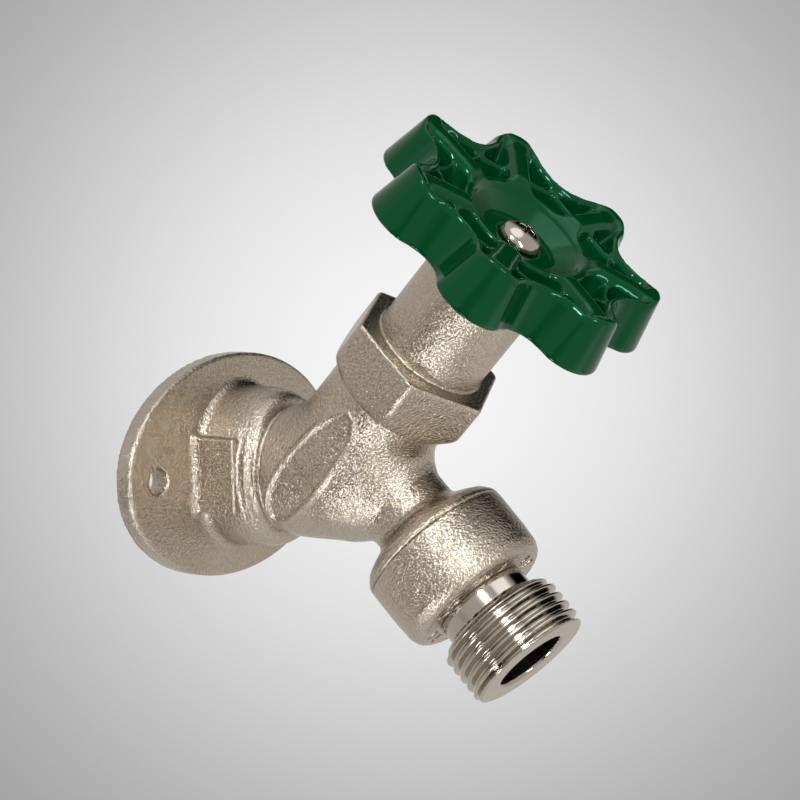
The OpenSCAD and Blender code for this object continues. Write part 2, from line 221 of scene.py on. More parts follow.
class NetMesher:
    """Turns a distance field into an even quad mesh; probe and stride are shares of the grid step."""

    rounds = 3
    probe = 0.15
    stride = 0.35
    least_slope = 0.05

    def __init__(self, shape: Field, grid: FieldGrid) -> None:
        """Keeps the field and lays out the grid.

        Args:
            shape: Field that gives distances in millimetres, negative inside.
            grid: Corners and spacing of the grid.
        """
        self.shape = shape
        self.step = grid.step
        self.low = np.array(grid.low, float)
        self.count = np.ceil((np.array(grid.high, float) - self.low) / self.step).astype(int) + 1

    def sample(self) -> Array:
        """Finds the distances on the whole grid, one sheet of points at a time.

        Returns:
            A three-dimensional array of distances.
        """
        steps = [low + self.step * np.arange(count) for low, count in zip(self.low, self.count)]
        spots = np.stack(np.meshgrid(*steps, indexing="ij"), -1)
        return np.array([self.shape(sheet.reshape(-1, 3)) for sheet in spots]).reshape(self.count)

    def ends(self, values: Array, axis: int) -> tuple[Array, Array]:
        """Values at the low and at the high end of every grid edge along one axis."""
        count = values.shape[axis] - 1
        return values.take(range(count), axis), values.take(range(1, count + 1), axis)

    def build(self) -> tuple[Array, Array]:
        """Makes the quad mesh, with one point in each cell that the surface passes.

        Returns:
            Points in millimetres and quads as index rows.
        """
        values = self.sample()
        cells = tuple(n - 1 for n in values.shape)
        total = np.zeros(cells + (3,))
        hits = np.zeros(cells)
        for axis in range(3):
            u, v = (other for other in range(3) if other != axis)
            a, b = self.ends(values, axis)
            crossing = (a < 0) != (b < 0)
            part = np.where(crossing, a / np.where(crossing, a - b, 1.0), 0.0)
            for du in (0, 1):
                for dv in (0, 1):
                    pick = [slice(None)] * 3
                    pick[u] = slice(du, du + cells[u])
                    pick[v] = slice(dv, dv + cells[v])
                    here = crossing[tuple(pick)]
                    hits += here
                    total[..., axis] += part[tuple(pick)] * here
                    total[..., u] += du * here
                    total[..., v] += dv * here
        used = hits > 0
        index = -np.ones(cells, int)
        index[used] = np.arange(used.sum())
        points = self.low + self.step * (np.argwhere(used) + total[used] / hits[used][:, None])
        quads = [self.quads(values < 0, index, axis) for axis in range(3)]
        return self.pull(points), np.concatenate(quads)

    def quads(self, inside: Array, index: Array, axis: int) -> Array:
        """Makes a quad around each grid edge of one axis that crosses the surface.

        Args:
            inside: True at the grid points inside the shape.
            index: Number of each cell's point.
            axis: Axis of the edges.

        Returns:
            Index rows that face outward.
        """
        u, v = (other for other in range(3) if other != axis)
        a, b = self.ends(inside, axis)
        edge = np.argwhere(a != b)
        spot = edge[:, (u, v)]
        edge = edge[((spot > 0) & (spot < np.take(index.shape, (u, v)))).all(1)]
        outward = a[tuple(edge.T)]
        unit = np.eye(3, dtype=int)
        around = [edge - du * unit[u] - dv * unit[v] for du, dv in ((1, 1), (0, 1), (0, 0), (1, 0))]
        faces = np.stack([index[tuple(cell.T)] for cell in around], 1)
        flip = outward == (axis == 1)
        faces[flip] = faces[flip][:, ::-1]
        return faces

    def pull(self, points: Array) -> Array:
        """Moves points along the slope of the field onto its zero surface.

        Args:
            points: Points to move.

        Returns:
            The moved points.
        """
        h = self.step * self.probe
        reach = self.step * self.stride
        for _ in range(self.rounds):
            rise = [self.shape(points + way) - self.shape(points - way) for way in np.eye(3) * h]
            slope = np.stack(rise, 1) / (2 * h)
            size = np.maximum((slope ** 2).sum(1), self.least_slope)
            move = np.clip(-self.shape(points) / size, -reach, reach)
            points = points + move[:, None] * slope
        return points


def link(name: str, data: bpy.types.ID) -> Object:
    """Makes an object of some data and links it to the scene.

    Args:
        name: Name of the object.
        data: Its mesh, camera or light.

    Returns:
        The new object.
    """
    made = bpy.data.objects.new(name, data)
    bpy.context.scene.collection.objects.link(made)
    return made


def mesh_object(name: str, points: Array, faces: Array) -> Object:
    """Makes an object from points in millimetres.

    Args:
        name: Name of the piece.
        points: Points in millimetres in the row frame.
        faces: Index rows, all of one length.

    Returns:
        The new object.
    """
    mesh = bpy.data.meshes.new(name)
    mesh.from_pydata(points * MM, [], faces, shade_flat=False)
    mesh.validate()
    return link(name, mesh)


# Node trees

class Value:
    """A number or socket in a node tree that can be used in formulas."""

    def __init__(self, tree: "NodeTree", source: Union[float, Socket]) -> None:
        """Wraps a number or an output socket of a tree."""
        self.tree = tree
        self.source = source

    def math(self, operation: str, *others: Term, clamp: bool = False) -> "Value":
        """Adds one Math node.

        Args:
            operation: Name of the operation.
            others: Further operands.
            clamp: True to clamp the result.

        Returns:
            The result.
        """
        node = self.tree.node("ShaderNodeMath", {"operation": operation, "use_clamp": clamp})
        for socket, item in zip(node.inputs, (self, *others)):
            self.tree.connect(item, socket)
        return Value(self.tree, node.outputs[0])

    def __add__(self, other: Term) -> "Value":
        """Sum."""
        return self.math("ADD", other)

    def __sub__(self, other: Term) -> "Value":
        """Difference."""
        return self.math("SUBTRACT", other)

    def __rsub__(self, other: float) -> "Value":
        """Reflected difference."""
        return Value(self.tree, other).math("SUBTRACT", self)

    def __mul__(self, other: Term) -> "Value":
        """Product."""
        return self.math("MULTIPLY", other)

    def __truediv__(self, other: Term) -> "Value":
        """Quotient."""
        return self.math("DIVIDE", other)

    __radd__ = __add__
    __rmul__ = __mul__

    def clamped(self) -> "Value":
        """The value held between 0 and 1."""
        return self.math("ADD", 0.0, clamp=True)

    def ramp(self, low: float, high: float) -> "Value":
        """Straight ramp from 0 at low to 1 at high, held between them."""
        return ((self - low) / (high - low)).clamped()


class NodeTree:
    """Adds and links nodes in one tree."""

    def __init__(self, tree: bpy.types.NodeTree) -> None:
        """Keeps the tree to fill."""
        self.tree = tree

    def connect(self, item: object, socket: Socket) -> None:
        """Links a socket or sets a plain value.

        Args:
            item: A Value, an output socket or a plain value.
            socket: The input socket.
        """
        if isinstance(item, Value):
            item = item.source
        if isinstance(item, Socket):
            self.tree.links.new(item, socket)
        elif isinstance(item, tuple) and len(item) == 3 and socket.type == "RGBA":
            socket.default_value = (*item, 1.0)
        else:
            socket.default_value = item

    def node(self, kind: str, settings: Optional[dict] = None, inputs: Optional[dict] = None) -> Node:
        """Adds one node.

        Args:
            kind: Node type name.
            settings: Attributes to set on the node.
            inputs: Input names or numbers with their values or links.

        Returns:
            The new node.
        """
        made = self.tree.nodes.new(kind)
        for key, item in (settings or {}).items():
            setattr(made, key, item)
        for key, item in (inputs or {}).items():
            self.connect(item, made.inputs[key])
        return made

    def colours(self, amount: Value, first: object, second: object) -> Socket:
        """Mixes two colours, the first at 0 and the second at 1."""
        made = self.node("ShaderNodeMix", {"data_type": "RGBA"}, {0: amount, 6: first, 7: second})
        return made.outputs[2]

    def facing(self, way: Triple, place: Socket) -> Value:
        """Cosine of the angle between a fixed direction and a unit vector."""
        made = self.node("ShaderNodeVectorMath", {"operation": "DOT_PRODUCT"}, {0: place, 1: way})
        return Value(self, made.outputs["Value"])


class ShaderTree(NodeTree):
    """Builds one material's node tree around a Principled shader."""

    def __init__(self, name: str) -> None:
        """Starts the tree of a new material.

        Args:
            name: Name of the material.
        """
        self.material = bpy.data.materials.new(name)
        self.material.use_nodes = True
        super().__init__(self.material.node_tree)
        self.tree.nodes.clear()
        self.output = self.node("ShaderNodeOutputMaterial")
        self.shader = self.node("ShaderNodeBsdfPrincipled")
        self.tree.links.new(self.shader.outputs[0], self.output.inputs["Surface"])
        self.place = self.node("ShaderNodeTexCoord").outputs["Object"]

    def put(self, **inputs: object) -> None:
        """Sets or links inputs of the Principled shader, named with underscores."""
        for key, item in inputs.items():
            self.connect(item, self.shader.inputs[key.replace("_", " ")])

    def noise(self, scale: float, detail: float = 2.0, rough: float = 0.5) -> Value:
        """Noise around 0.5 in the object's own coordinates; scale is in cells a metre."""
        inputs = {"Vector": self.place, "Scale": scale, "Detail": detail, "Roughness": rough}
        return Value(self, self.node("ShaderNodeTexNoise", None, inputs).outputs["Fac"])

    def bump(self, height: Value, distance: float, strength: float = 1.0, **under: Socket) -> Socket:
        """Normal of a height between 0 and 1, in metres, over another Normal if one is given."""
        inputs = {"Height": height, "Distance": distance, "Strength": strength, **under}
        return self.node("ShaderNodeBump", None, inputs).outputs["Normal"]


class FormulaTree(NodeTree):
    """Builds one Geometry Nodes tree with named inputs."""

    def __init__(self, name: str, inputs: dict[str, float]) -> None:
        """Starts the tree.

        Args:
            name: Name of the tree.
            inputs: Named inputs with their values.
        """
        group = bpy.data.node_groups.new(name, "GeometryNodeTree")
        super().__init__(group)
        group.interface.new_socket("Geometry", in_out="INPUT", socket_type="NodeSocketGeometry")
        self.values = {}
        for key, value in inputs.items():
            socket = group.interface.new_socket(key, in_out="INPUT", socket_type="NodeSocketFloat")
            self.values[socket.identifier] = value
        group.interface.new_socket("Geometry", in_out="OUTPUT", socket_type="NodeSocketGeometry")
        self.start = self.node("NodeGroupInput")
        self.end = self.node("NodeGroupOutput")

    def given(self, key: str) -> Value:
        """The named input as a value."""
        return Value(self, self.start.outputs[key])


# Materials

@dataclass(frozen=True)
class CastNickel:
    """Sand cast brass with satin nickel plate: fine grain over a low swell, its tone partly the grain's own
    colour and partly painted sparkle.
    """

    # Ends of the grain tone; its pale specks are partly painted sparkle.
    pale: Triple = (0.59, 0.52, 0.435)
    deep: Triple = (0.47, 0.40, 0.32)
    cloud: float = 70.0
    cloud_share: float = 0.3
    cloud_span: Pair = (0.3, 0.7)
    grain: float = 1950.0
    grain_sparkle_share: float = 0.7
    grain_depth: float = 0.00025
    swell: float = 1000.0
    swell_depth: float = 0.00011
    tones: Pair = (0.36, 0.62)
    rough: Pair = (0.12, 0.18)

    def fill(self, t: ShaderTree) -> None:
        """Fills the material's tree.

        Args:
            t: The tree.
        """
        cloud = t.noise(self.cloud, 3.0)
        grain = t.noise(self.grain, 2.0, 0.6)
        # Tone from cloud and grain noise: partly the casting's own grain colour, and partly painted sparkle
        # in the pale specks.
        grain_sparkle_tone = (self.cloud_share * cloud + self.grain_sparkle_share * grain).ramp(*self.tones)
        swell = t.bump(t.noise(self.swell), self.swell_depth)
        smooth, dull = self.rough
        t.put(
            Base_Color=t.colours(grain_sparkle_tone, self.deep, self.pale),
            Metallic=1.0,
            Roughness=smooth + (dull - smooth) * cloud.ramp(*self.cloud_span),
            Normal=t.bump(grain, self.grain_depth, Normal=swell),
        )


@dataclass(frozen=True)
class PolishedNickel:
    """Turned and plated metal, a little smeared."""

    colour: Triple = (0.56, 0.51, 0.45)
    smear: float = 300.0
    smear_dark: float = 0.82
    rough: float = 0.07
    rough_swing: float = 0.1
    scratch: float = 2500.0
    scratch_depth: float = 0.00001
    scratch_strength: float = 0.4

    def fill(self, t: ShaderTree) -> None:
        """Fills the material's tree.

        Args:
            t: The tree.
        """
        smear = t.noise(self.smear)
        dark = tuple(c * self.smear_dark for c in self.colour)
        t.put(
            Base_Color=t.colours(smear, dark, self.colour),
            Metallic=1.0,
            Roughness=self.rough + self.rough_swing * smear,
            Normal=t.bump(t.noise(self.scratch, 1.0), self.scratch_depth, self.scratch_strength),
        )


@dataclass(frozen=True)
class Enamel:
    """Thick gloss enamel over a casting, a little uneven like dipped paint."""

    colour: Triple = (0.0001, 0.037, 0.0095)
    light: Triple = (0.0002, 0.046, 0.0120)
    shine: float = 0.4
    shine_tint: tuple[float, float, float, float] = (0.1, 0.85, 0.5, 1.0)
    coat: float = 0.22
    coat_rough: float = 0.05
    cloud: float = 60.0
    rough: float = 0.10
    rough_swing: float = 0.05
    dull: float = 150.0
    wave: float = 160.0
    wave_depth: float = 0.0003
    wave_strength: float = 0.16

    def fill(self, t: ShaderTree) -> None:
        """Fills the material's tree.

        Args:
            t: The tree.
        """
        t.put(
            Base_Color=t.colours(t.noise(self.cloud), self.colour, self.light),
            Roughness=self.rough + self.rough_swing * t.noise(self.dull),
            Specular_IOR_Level=self.shine,
            Specular_Tint=self.shine_tint,
            Coat_Weight=self.coat,
            Coat_Roughness=self.coat_rough,
            Normal=t.bump(t.noise(self.wave), self.wave_depth, self.wave_strength),
        )


@dataclass(frozen=True)
class PlainStuff:
    """Simple machined or moulded stuff with a fine grain."""

    colour: Triple
    metallic: float
    rough: float
    grain: float = 900.0
    depth: float = 0.00003
    strength: float = 0.6
    rough_swing: float = 0.1
    dark: float = 0.8

    def fill(self, t: ShaderTree) -> None:
        """Fills the material's tree.

        Args:
            t: The tree.
        """
        grain = t.noise(self.grain)
        dark = tuple(self.dark * c for c in self.colour)
        t.put(
            Base_Color=t.colours(grain, dark, self.colour),
            Metallic=self.metallic,
            Roughness=self.rough + self.rough_swing * grain,
            Normal=t.bump(grain, self.depth, self.strength),
        )


class Slot(Enum):
    """Material slots of the record."""

    CAST = "cast_nickel"
    POLISHED = "polished_nickel"
    ENAMEL = "green_enamel"
    BRASS = "brass"
    RUBBER = "rubber"
    GRAPHITE = "graphite"
    STEEL = "steel"
    ACETAL = "acetal"


FINISHES = {
    Slot.CAST: CastNickel(),
    Slot.POLISHED: PolishedNickel(),
    Slot.ENAMEL: Enamel(),
    Slot.BRASS: PlainStuff((0.75, 0.55, 0.25), 1.0, 0.28),
    Slot.RUBBER: PlainStuff((0.03, 0.03, 0.03), 0.0, 0.7, 1500.0, 0.00008),
    Slot.GRAPHITE: PlainStuff((0.05, 0.05, 0.055), 0.3, 0.5, 1800.0, 0.0001),
    Slot.STEEL: PlainStuff((0.62, 0.62, 0.62), 1.0, 0.22),
    Slot.ACETAL: PlainStuff((0.78, 0.77, 0.73), 0.0, 0.45),
}

CAD_NODES = {
    Slot.BRASS: ("valve_seat", "packing_washer", "packing_follower", "gland_nut", "washer_holder",
                 "bibb_screw", "stem", "breaker_seat"),
    Slot.RUBBER: ("bonnet_gasket", "bibb_washer", "breaker_seal", "poppet_diaphragm"),
    Slot.GRAPHITE: ("packing_ring",),
    Slot.STEEL: ("holder_clip", "poppet_spring"),
    Slot.ACETAL: ("poppet", "poppet_guide"),
}


class Palette:
    """All materials of the part by slot."""

    def __init__(self) -> None:
        """Builds every material once."""
        self.made = {}
        for slot, finish in FINISHES.items():
            tree = ShaderTree(slot.value)
            finish.fill(tree)
            self.made[slot] = tree.material

    def paint(self, piece: Object, slot: Slot) -> None:
        """Gives a piece its material and names its slot.

        Args:
            piece: The piece.
            slot: The slot.
        """
        piece.data.materials.clear()
        piece.data.materials.append(self.made[slot])

    def paint_cad(self, frame: dict) -> None:
        """Paints every CAD node that stays as it is.

        Args:
            frame: The loaded frame.
        """
        for slot, names in CAD_NODES.items():
            for name in names:
                self.paint(frame["nodes"][name], slot)


# Pieces

@dataclass
class Piece:
    """A visual piece that rides on one body and may stand for one CAD node.

    Sizes are in millimetres, places are measured along the piece's axis, and angles are in degrees.
    """

    palette: Palette
    name: str = ""
    node: str = ""
    body: str = "housing"
    slot: Slot = Slot.CAST
    axis: Axis = Axis.STEM

    def mesh(self) -> Object:
        """Makes the piece's mesh in the row frame."""
        raise NotImplementedError

    def place(self) -> None:
        """Makes, paints and mounts the piece."""
        made = self.mesh()
        self.palette.paint(made, self.slot)
        if self.node:
            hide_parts(self.node)
        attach(made, self.body)
        log.info("%s: %d faces", self.name, len(made.data.polygons))


@dataclass
class FieldPiece(Piece):
    """A piece meshed from a distance field in the frame of its axis.

    The last number given to join, meet or cut is the width of that fillet or rounding. A factor just
    under 1 on a slanted side brings its values back to true distances.
    """

    grid: FieldGrid = FieldGrid((0, 0, 0), (1, 1, 1), 0.5)
    line: Line = ((0, 1), (1, 1))
    line_edge: float = 0.0
    bores: tuple[Rod, ...] = ()

    def shape(self, points: Array) -> Array:
        """Field of the piece, by default a turned solid with its bores.

        Args:
            points: Local points, given as x, across and along.

        Returns:
            Distances of the piece.
        """
        x, v, w = points.T
        r = np.hypot(x, v)
        return bored(profile(r, w, self.line, self.line_edge), self.bores, r, w)

    def mesh(self) -> Object:
        """Meshes the field and brings it into the row frame."""
        points, faces = NetMesher(self.shape, self.grid).build()
        return mesh_object(self.name, self.axis.value.world(points), faces)


@dataclass
class BodyCasting(FieldPiece):
    """Flange, inlet drum, level body, bonnet barrel and outlet branch in one casting."""

    name: str = "body_casting"
    node: str = "valve_body"
    axis: Axis = Axis.INLET
    grid: FieldGrid = FieldGrid((-37.2, -43.5, -1.3), (37.2, 28.5, 69), 0.5)
    flange_half: Pair = (36.2, 23.8)
    flange_thick: float = 3.6
    flange_dome: float = 1.6
    flange_edge: float = 0.9
    drum_squeeze: float = 1.085
    drum_line: Line = ((0, 17.1), (11.5, 17.1), (14.5, 16.9), (16.5, 16.4), (18.7, 15.2))
    drum_edge: float = 1.5
    beads: Line = ((17.0, 1.0), (18.7, 0.8))
    bead_high: float = 0.6
    bead_wide: float = 0.35
    bead_fade: Pair = (1.6, 7.0)
    pad_side: float = 16.3
    pad_half: float = 7.9
    pad_span: Pair = (5.4, 15.1)
    shoulder: Rod = Rod(13.5, 10, 17.7, 0.5)
    neck: Rod = Rod(13.0, 10, 21)
    body_line: Line = ((19.9, 14.0), (22, 14.2), (26, 14.3), (36.5, 14.2))
    knuckle_at: float = 36.2
    knuckle: float = 14.2
    barrel: Rod = Rod(13.3, -4, 14.9, 0.5)
    branch_line: Line = (
        (-4, 13.3), (6, 13.2), (10, 12.2), (13.5, 10.4), (16.5, 9.4), (21, 9.4), (22.5, 10.4),
        (24.2, 13.7), (25.3, 15.4), (26.7, 16.4), (27.9, 16.6),
    )
    spigot: Rod = Rod(13.6, 26, 31.5, 0.4)
    oval_at: Pair = (32.0, 2.6)
    oval_half: Pair = (16.5, 5.6)
    oval_tilt: float = 47.0
    oval_high: float = 0.5
    oval_ring: Triple = (0.6, 0.5, 0.14)
    oval_floor: Triple = (0.2, 1.2, 0.3)
    oval_left: Pair = (7.0, 2.0)
    screw_at: float = 27.3
    screw_hole: float = 2.8
    screw_deep: float = 12.0
    inlet_bores: tuple[Rod, ...] = (Rod(10.3, -2, 17, 0.6), Rod(7, 16, 21))
    way_drop: float = 2.5
    way: Rod = Rod(5, 17, 25.9)
    stem_bores: tuple[Rod, ...] = (
        Rod(9.6, -7.4, 16), Rod(11.25, 8, 16), Rod(6.6, -11, -7), Rod(5.7, -16, -7))
    outlet_bore: Rod = Rod(6, 2, 33, 0.4)

    def flange(self, points: Array) -> Array:
        """Domed oval plate.

        Args:
            points: Local points.

        Returns:
            Distances of the plate.
        """
        x, z, w = points.T
        reach = np.hypot(x / self.flange_half[0], z / self.flange_half[1])
        top = w - (self.flange_thick + self.flange_dome * (1 - reach ** 2))
        plate = meet(oval_side(x, z, self.flange_half), top, self.flange_edge)
        return np.maximum(plate, -w)

    def drum(self, points: Array) -> Array:
        """Crowned drum with wrench pads on its sides, two beads, and the neck in front of it.

        Args:
            points: Local points.

        Returns:
            Distances of the drum and its neck.
        """
        x, z, w = points.T
        r = np.hypot(x, z)
        crown = profile(np.hypot(x * self.drum_squeeze, z), w, self.drum_line, self.drum_edge)
        bead = sum(share * np.exp(-((w - at) / self.bead_wide) ** 2) for at, share in self.beads)
        fade = np.clip(self.bead_fade[0] - np.abs(z) / self.bead_fade[1], 0, 1)
        crown = crown - self.bead_high * bead * fade
        pad = meet(np.abs(x) - self.pad_side, slab(w, *self.pad_span), 0.3)
        pad = meet(np.abs(z) - self.pad_half, pad, 0.25)
        crown = join(crown, pad, 0.3)
        return join(join(crown, self.shoulder.bar(r, w), 0.3), self.neck.bar(r, w), 0.4)

    def outside(self, points: Array, stem: tuple[Array, Array], outlet: tuple[Array, Array]) -> Array:
        """Outer skin of the casting.

        Args:
            points: Local points.
            stem: Distance from the stem axis, and place along it.
            outlet: Distance from the outlet axis, and place along it.

        Returns:
            Distances of the skin.
        """
        x, z, w = points.T
        body = profile(np.hypot(x, z), w, self.body_line, 0.8)
        knuckle = np.sqrt(x ** 2 + z ** 2 + (w - self.knuckle_at) ** 2) - self.knuckle
        shape = join(join(body, knuckle, 0.6), self.barrel.bar(*stem), 3.2)
        shape = join(shape, profile(*outlet, self.branch_line, 0.4), 2.0)
        shape = join(shape, self.drum(points), 0.3)
        shape = join(shape, self.flange(points), 2.2)
        return join(shape, self.spigot.bar(*outlet))

    def cartouche(self, points: Array) -> Array:
        """Height of the bare raised oval on the left side: a soft ring around a sunk floor.

        Args:
            points: Local points.

        Returns:
            Heights above the skin.
        """
        x, z, w = points.T
        middle, height = self.oval_at
        rim = oval_side(*turned(w - middle, z - height, self.oval_tilt), self.oval_half)
        inset, half, soft = self.oval_ring
        ring = 1 / (1 + np.exp((np.abs(rim + inset) - half) / soft))
        depth, inset, soft = self.oval_floor
        floor = 1 / (1 + np.exp((rim + inset) / soft))
        start, fade = self.oval_left
        return (self.oval_high * ring - depth * floor) * np.clip((-x - start) / fade, 0, 1)

    def shape(self, points: Array) -> Array:
        """Skin with its water ways and holes.

        Args:
            points: Local points.

        Returns:
            Distances of the casting.
        """
        x, z, w = points.T
        r = np.hypot(x, z)
        world = self.axis.value.world(points)
        stem = Axis.STEM.value.polar(world)
        outlet = Axis.OUTLET.value.polar(world)
        d = self.outside(points, stem, outlet) - self.cartouche(points)
        holes = np.hypot(np.abs(x) - self.screw_at, z) - self.screw_hole
        d = cut(d, np.maximum(holes, w - self.screw_deep), 0.4)
        d = bored(d, self.inlet_bores, r, w)
        d = self.way.bore(d, np.hypot(x, z + self.way_drop), w)
        d = bored(d, self.stem_bores, *stem)
        return self.outlet_bore.bore(d, *outlet)


@dataclass
class BonnetCasting(FieldPiece):
    """Hexagon with chamfered ends and the plain barrel above it."""

    name: str = "bonnet_casting"
    node: str = "bonnet"
    grid: FieldGrid = FieldGrid((-17.8, -17.8, 8.3), (17.8, 17.8, 51.8), 0.4)
    turn: float = 26.0
    half_flats: float = 15.15
    nut_span: Pair = (14.95, 28.0)
    nut_edge: float = 0.8
    foot: float = 14.2
    foot_at: float = 14.9
    foot_slope: float = 0.78
    line: Line = ((25, 12.1), (33, 12.1), (50.7, 12.1), (51.2, 11.7))
    line_edge: float = 0.4
    spigot: Rod = Rod(11.2, 8.9, 16, 0.2)
    bores: tuple[Rod, ...] = (Rod(7.05, 8, 32), Rod(5.1, 30, 36), Rod(8.4, 34, 53, 0.6))

    def shape(self, points: Array) -> Array:
        """Hexagon, barrel and bores.

        Args:
            points: Local points.

        Returns:
            Distances of the bonnet.
        """
        x, v, w = points.T
        r = np.hypot(x, v)
        nut = None
        for k in range(6):
            side = turned(x, v, self.turn + 30 + 60 * k)[0] - self.half_flats
            nut = side if nut is None else meet(nut, side, self.nut_edge)
        foot = (r - self.foot - self.foot_slope * (w - self.foot_at)) * 0.79
        nut = meet(meet(nut, foot, self.nut_edge), slab(w, *self.nut_span), self.nut_edge)
        shape = join(nut, profile(r, w, self.line, self.line_edge), 0.6)
        return bored(join(shape, self.spigot.bar(r, w)), self.bores, r, w)


@dataclass
class Handwheel(FieldPiece):
    """Die cast handwheel: scalloped wall, seven ridge spokes, ring, dish and hub."""

    name: str = "handwheel"
    node: str = "handle"
    body: str = "turning"
    slot: Slot = Slot.ENAMEL
    grid: FieldGrid = FieldGrid((-33.6, -33.6, 53.6), (33.6, 33.6, 66.6), 0.4)
    lobes: int = 7
    turn: float = 98.5
    low: float = 54.0
    height: float = 11.05
    crown: float = 0.55
    lobe_at: float = 23.95
    lobe_r: float = 7.6
    valley_at: float = 31.3
    valley_r: float = 6.8
    draft: float = 1.25
    wall_top: float = 1.0
    wall_flare: float = 0.42
    wall_deep: float = 2.6
    core: float = 27.1
    dish: float = 15.2
    ring_drop: float = 2.0
    seat: float = 5.7
    crest_drop: float = 0.25
    crest_from: float = 24.0
    crest_fall: float = 0.09
    spoke_top: float = 2.4
    spoke_flare: float = 0.2
    spoke_deep: float = 3.5
    spoke_start: Pair = (15.4, 64.4)
    saddle_at: float = 19.9
    saddle_drop: float = 2.0
    saddle_half: float = 0.45
    saddle_slope: float = 0.25
    shelf_drop: float = 6.4
    shelf_half: float = 0.6
    hub: float = 7.2
    hub_low: float = 55.3
    socket: float = 5.2
    square: float = 2.85

    @property
    def flat(self) -> float:
        """Height of the wall's top between the lobes."""
        return self.low + self.height

    @property
    def floor(self) -> float:
        """Height of the seat under the screw's head."""
        return self.flat - self.seat

    def rim(self, spot: Spot, top: Array) -> tuple[Array, Array]:
        """Scalloped and drafted wall, thin at its top edge, and the distance to its outer skin.

        Args:
            spot: Place along and across the lobe's middle, and height.
            top: Height of the wall's top edge.

        Returns:
            Distances of the wall, and distances of the skin.
        """
        p, q, w = spot
        half = math.pi / self.lobes
        lobe = np.hypot(p - self.lobe_at, q) - self.lobe_r
        valley = np.hypot(p - self.valley_at * math.cos(half), q - self.valley_at * math.sin(half))
        outline = cut(join(lobe, np.hypot(p, q) - self.core, 0.8), valley - self.valley_r, 1.2)
        slope = 2 * self.draft / self.height
        skin = (outline - self.draft + slope * (w - self.low)) / math.sqrt(1 + slope ** 2)
        thick = np.clip(self.wall_top + self.wall_flare * (top - w), self.wall_top, self.wall_deep)
        wall = np.maximum(skin, -(skin + thick) * 0.93)
        wall = meet(wall, w - top, 1.5)
        return meet(wall, self.low - w, 0.7), skin

    def spokes(self, spot: Spot, skin: Array) -> Array:
        """Ridge spokes along the middle of each lobe.

        Args:
            spot: Place along and across the lobe's middle, and height.
            skin: Distance to the outer skin.

        Returns:
            Distances of the spokes.
        """
        p, q, w = spot
        crest = self.flat + self.crown - self.crest_drop
        crest = crest - self.crest_fall * np.clip(self.crest_from - p, 0, None)
        half = np.clip(self.spoke_top + self.spoke_flare * (crest - w), self.spoke_top, self.spoke_deep)
        spoke = meet((q - half) * 0.98, w - crest, 2.0)
        start = (self.spoke_start[0] - p) * 0.78 + (w - self.spoke_start[1]) * 0.62
        spoke = meet(spoke, start, 0.8)
        return np.maximum(spoke, np.maximum(self.floor - 0.4 - w, skin + 0.3))

    def pockets(self, p: Array, w: Array, skin: Array) -> Array:
        """Low saddle across each lobe, with the shelf outside it.

        Args:
            p: Coordinate along the lobe's middle.
            w: Height.
            skin: Distance to the outer skin.

        Returns:
            Distances of saddle and shelf.
        """
        bar = np.abs(p - self.saddle_at + self.saddle_slope * (self.flat - w)) - self.saddle_half
        saddle = meet(bar, w - self.flat + self.saddle_drop, 0.7)
        shelf = np.abs(w - self.flat + self.shelf_drop) - self.shelf_half
        shelf = meet(self.saddle_at - p, shelf, 0.6)
        return np.maximum(np.maximum(join(saddle, shelf, 1.2), self.floor - 1.5 - w), skin + 0.4)

    def bowl(self, r: Array, w: Array) -> Array:
        """Ring with the open dish in it.

        Args:
            r: Distance from the axis.
            w: Height.

        Returns:
            Distances of ring and dish.
        """
        floor = self.floor
        ring = self.flat - self.ring_drop
        dish = self.dish
        outer = ((floor - 2.4, 8.2), (floor + 0.4, dish), (ring, dish))
        inner = ((floor, 8.4), (ring - 1.15, dish - 2.6), (ring, dish - 1.7), (ring + 3, dish - 0.6))
        return cut(profile(r, w, outer, 1.2), profile(r, w, inner), 1.0)

    def shape(self, points: Array) -> Array:
        """The whole wheel.

        Args:
            points: Local points.

        Returns:
            Distances of the wheel.
        """
        x, v, w = points.T
        r, a = fold(x, v, self.lobes, self.turn)
        spot = (r * np.cos(a), r * np.sin(a), w)
        floor = self.floor
        top = self.flat - 0.1 + (self.crown + 0.05) * (0.5 + 0.5 * np.cos(self.lobes * a))
        wall, skin = self.rim(spot, top)
        shape = join(wall, self.spokes(spot, skin), 2.2)
        shape = join(shape, self.pockets(spot[0], w, skin), 1.2)
        shape = np.maximum(join(shape, self.bowl(r, w), 1.6), skin)
        shape = join(shape, Rod(self.hub, self.hub_low, floor - 0.5, 0.5).bar(r, w), 1.0)
        shape = cut(shape, Rod(self.socket, floor - 0.4, floor + 2, 0.2).bar(r, w), 0.3)
        square = np.maximum(np.maximum(np.abs(x), np.abs(v)) - self.square, w - floor - 2)
        return cut(shape, square, 0.1)


